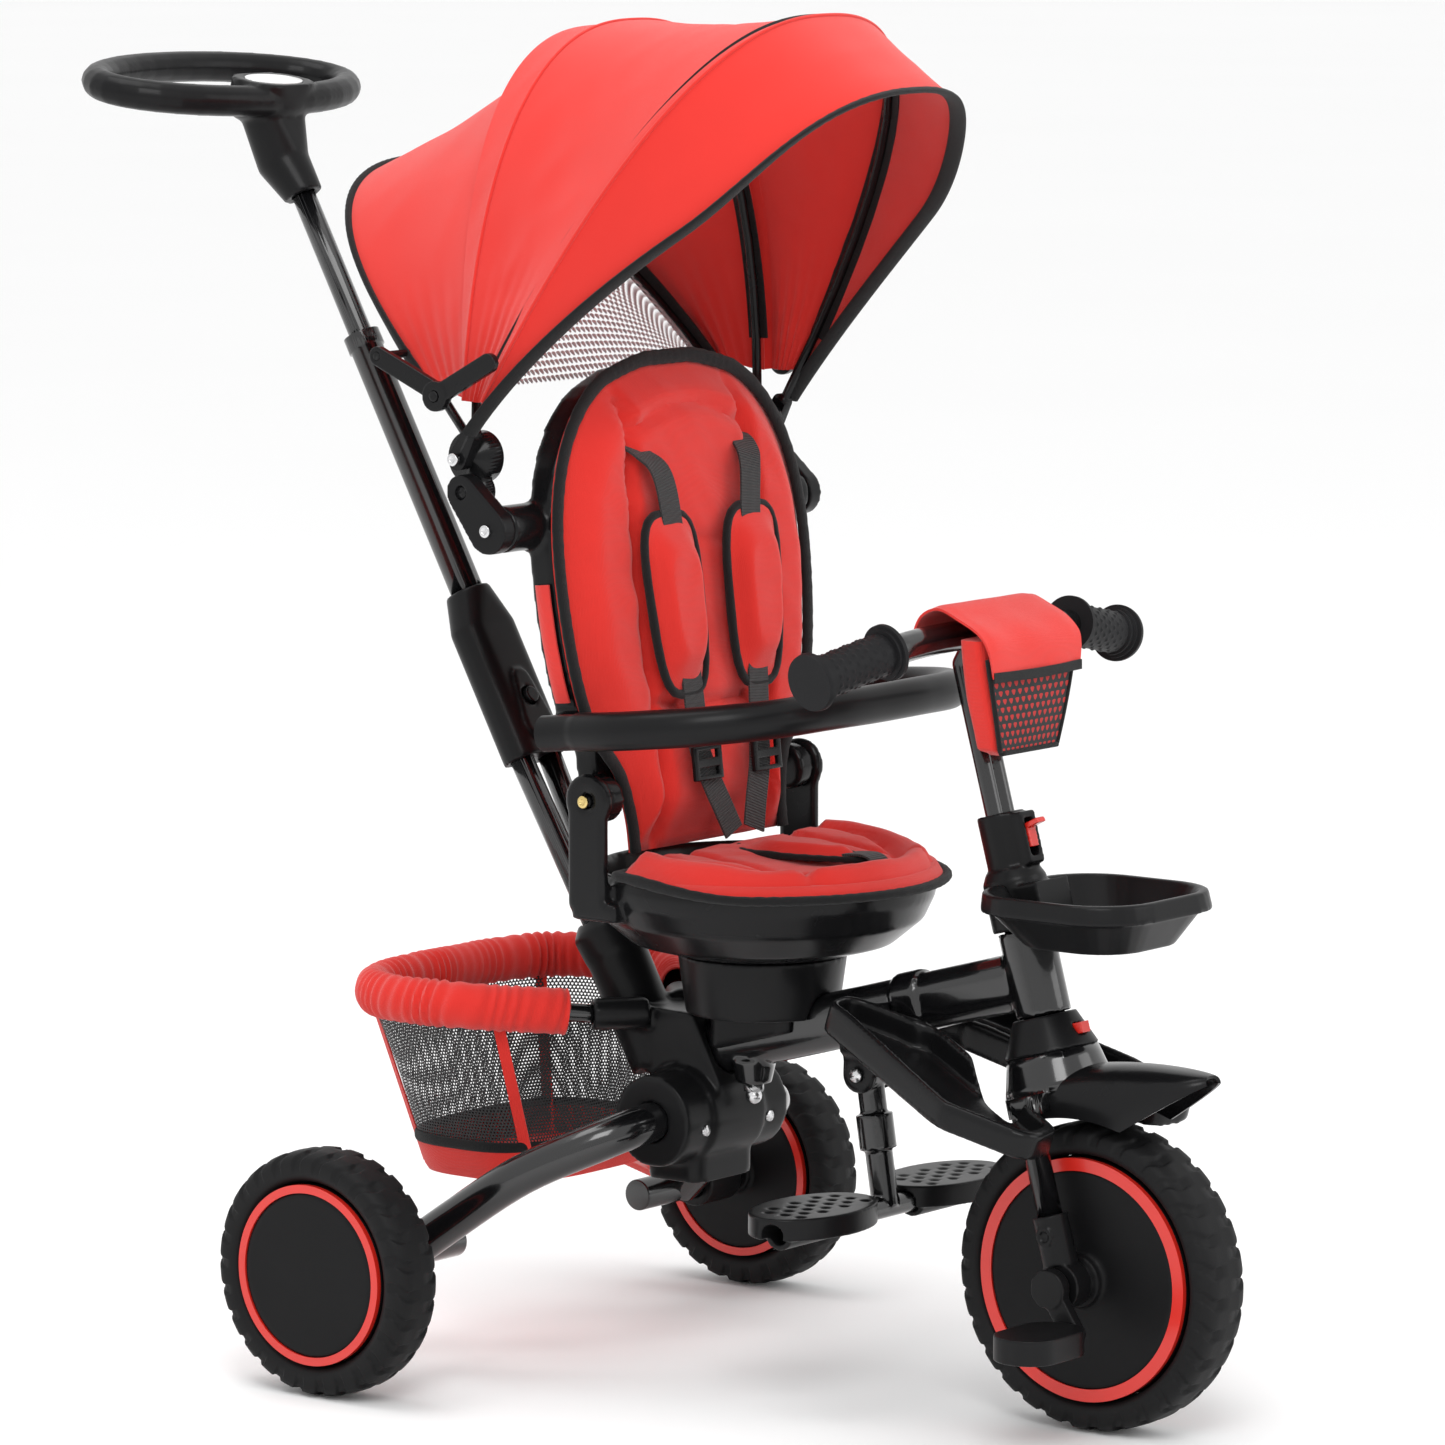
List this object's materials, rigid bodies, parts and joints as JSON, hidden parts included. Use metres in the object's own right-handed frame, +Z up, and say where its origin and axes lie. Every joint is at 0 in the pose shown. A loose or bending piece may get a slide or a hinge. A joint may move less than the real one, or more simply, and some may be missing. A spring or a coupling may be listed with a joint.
{
  "type": "children's tricycle",
  "caption": "Child's tricycle with swivelling padded seat, safety bar, folding canopy, push pole, rear basket, front tray, folding footrest and a steered front wheel.",
  "frame": {"origin": "on the ground under the middle of the whole object", "axes": "+X forward, +Y to the child's left, +Z up"},
  "size_m": [1.0035, 0.548, 0.9926],
  "materials": {
    "frame_paint": "gloss",
    "black_plastic": "satin",
    "soft_grip": "matte",
    "tyre": "matte",
    "red_plastic": "gloss",
    "steel": "polished",
    "badge_white": "gloss",
    "red_fabric": "woven",
    "black_mesh": "mesh",
    "webbing": "woven"
  },
  "bodies": {
    "frame": {"main_frame": "frame_paint", "rear_housing": "black_plastic", "rear_axle_tube": "frame_paint", "turntable": "black_plastic", "foot_troughs": "black_plastic", "pole_lower": "frame_paint", "pole_sleeve": "black_plastic", "pole_mid": "frame_paint", "frame_screws": "steel", "basket_hoop": "frame_paint", "basket_sleeve": "red_fabric", "basket_net": "black_mesh", "brake_housing": "black_plastic"},
    "pole_top": {"pole_upper": "frame_paint", "push_handle": "black_plastic", "handle_badge": "badge_white"},
    "button": {"pole_button": "black_plastic"},
    "brake": {"brake_pedal": "black_plastic"},
    "wheel_rear_right": {"tyre_rear_right": "tyre", "rim_rear_right": "black_plastic", "rings_rear_right": "red_plastic"},
    "wheel_rear_left": {"tyre_rear_left": "tyre", "rim_rear_left": "black_plastic", "rings_rear_left": "red_plastic"},
    "steering": {"fork": "frame_paint", "fork_dropouts": "black_plastic", "fender": "black_plastic", "fork_collar": "black_plastic", "stem_housing": "black_plastic", "handlebar": "frame_paint", "grips": "soft_grip", "bar_bag": "red_fabric", "tray": "black_plastic"},
    "fork_lock": {"lock_button": "red_plastic"},
    "stem_clamp": {"stem_lever": "red_plastic"},
    "front_wheel": {"tyre_front": "tyre", "rim_front": "black_plastic", "rings_front": "red_plastic", "crank": "frame_paint"},
    "pedal_r": {"pedal_right": "black_plastic"},
    "pedal_l": {"pedal_left": "black_plastic"},
    "footrest": {"footrest_post": "frame_paint"},
    "plate_r": {"footplate_right": "black_plastic"},
    "plate_l": {"footplate_left": "black_plastic"},
    "seat": {"seat_pan": "black_plastic", "seat_pad": "red_fabric", "crotch_pad": "red_fabric"},
    "back": {"back_shell": "black_plastic", "back_pad": "red_fabric", "back_pocket": "red_fabric", "harness": "webbing"},
    "guard": {"guard_bar": "soft_grip"},
    "canopy_arm": {"canopy_arms": "black_plastic"},
    "canopy": {"canopy_frame": "frame_paint", "canopy_rear_cloth": "red_fabric", "canopy_window": "black_mesh"},
    "canopy_front": {"canopy_front_bow": "frame_paint", "canopy_front_cloth": "red_fabric"},
    "link_rear": {"canopy_link_rear": "black_plastic"},
    "link_front": {"canopy_link_front": "black_plastic"}
  },
  "joints": [
    {"name": "pole_slide", "type": "slide", "parent": "frame", "child": "pole_top", "axis": [-0.4802, 0, 0.8771], "range_m": [-0.07, 0]},
    {"name": "button_press", "type": "slide", "parent": "frame", "child": "button", "axis": [0.8771, 0, 0.4802], "range_m": [-0.003, 0], "stiffness_N_per_m": 400},
    {"name": "brake_tilt", "type": "hinge", "parent": "frame", "child": "brake", "pos_m": [-0.132, 0, 0.084], "axis": [0, 1, 0], "range_deg": [-18, 0]},
    {"name": "rear_right_spin", "type": "hinge", "parent": "frame", "child": "wheel_rear_right", "pos_m": [-0.106, -0.252, 0.09], "axis": [0, 1, 0], "continuous": true},
    {"name": "rear_left_spin", "type": "hinge", "parent": "frame", "child": "wheel_rear_left", "pos_m": [-0.106, 0.252, 0.09], "axis": [0, 1, 0], "continuous": true},
    {"name": "steer", "type": "hinge", "parent": "frame", "child": "steering", "pos_m": [0.399, 0, 0.11], "axis": [-0.2689, 0, 0.9632], "range_deg": [-25, 25]},
    {"name": "fork_lock_press", "type": "slide", "parent": "steering", "child": "fork_lock", "axis": [0.9632, 0, 0.2689], "range_m": [-0.003, 0], "stiffness_N_per_m": 400},
    {"name": "stem_clamp_lift", "type": "hinge", "parent": "steering", "child": "stem_clamp", "pos_m": [0.33178, 0, 0.4214], "axis": [0, 1, 0], "range_deg": [-22, 0]},
    {"name": "front_spin", "type": "hinge", "parent": "steering", "child": "front_wheel", "pos_m": [0.399, 0, 0.11], "axis": [0, 1, 0], "continuous": true},
    {"name": "pedal_right_spin", "type": "hinge", "parent": "front_wheel", "child": "pedal_r", "pos_m": [0.41913, -0.104, 0.08015], "axis": [0, 1, 0], "continuous": true},
    {"name": "pedal_left_spin", "type": "hinge", "parent": "front_wheel", "child": "pedal_l", "pos_m": [0.37887, 0.104, 0.13985], "axis": [0, 1, 0], "continuous": true},
    {"name": "footrest_fold", "type": "hinge", "parent": "frame", "child": "footrest", "pos_m": [0.194, 0, 0.233], "axis": [0, 1, 0], "range_deg": [0, 60]},
    {"name": "plate_right_fold", "type": "hinge", "parent": "footrest", "child": "plate_r", "pos_m": [0.20933, 0, 0.13621], "axis": [0, 1, 0], "range_deg": [-90, 0]},
    {"name": "plate_left_fold", "type": "hinge", "parent": "footrest", "child": "plate_l", "pos_m": [0.20933, 0, 0.13621], "axis": [0, 1, 0], "range_deg": [-90, 0]},
    {"name": "seat_swivel", "type": "hinge", "parent": "frame", "child": "seat", "pos_m": [0.097, 0, 0.312], "axis": [0, 0, 1], "range_deg": [0, 180]},
    {"name": "recline", "type": "hinge", "parent": "seat", "child": "back", "pos_m": [0.036, 0, 0.431], "axis": [0, 1, 0], "range_deg": [-6, 0]},
    {"name": "guard_lift", "type": "hinge", "parent": "back", "child": "guard", "pos_m": [0.042, 0, 0.483], "axis": [0, 1, 0], "range_deg": [-60, 0]},
    {"name": "canopy_arm_turn", "type": "hinge", "parent": "back", "child": "canopy_arm", "pos_m": [-0.008, 0, 0.628], "axis": [0, 1, 0], "range_deg": [-5, 15]},
    {"name": "canopy_tilt", "type": "hinge", "parent": "canopy_arm", "child": "canopy", "pos_m": [-0.032, 0, 0.654], "axis": [0, 1, 0], "range_deg": [-4, 10]},
    {"name": "canopy_fold", "type": "hinge", "parent": "canopy", "child": "canopy_front", "pos_m": [-0.035, 0, 0.678], "axis": [0, 1, 0], "range_deg": [-35, 0]},
    {"name": "link_rear_turn", "type": "hinge", "parent": "canopy", "child": "link_rear", "pos_m": [-0.09924, 0, 0.74934], "axis": [0, 1, 0], "range_deg": [0, 17.2]},
    {"name": "link_front_turn", "type": "hinge", "parent": "link_rear", "child": "link_front", "pos_m": [-0.04, 0, 0.724], "axis": [0, 1, 0], "range_deg": [-69.4, 0]}
  ],
  "couplings": [
    {"joint": "link_rear_turn", "follows": "canopy_fold", "ratio": -0.4886},
    {"joint": "link_front_turn", "follows": "canopy_fold", "ratio": 1.98}
  ]
}
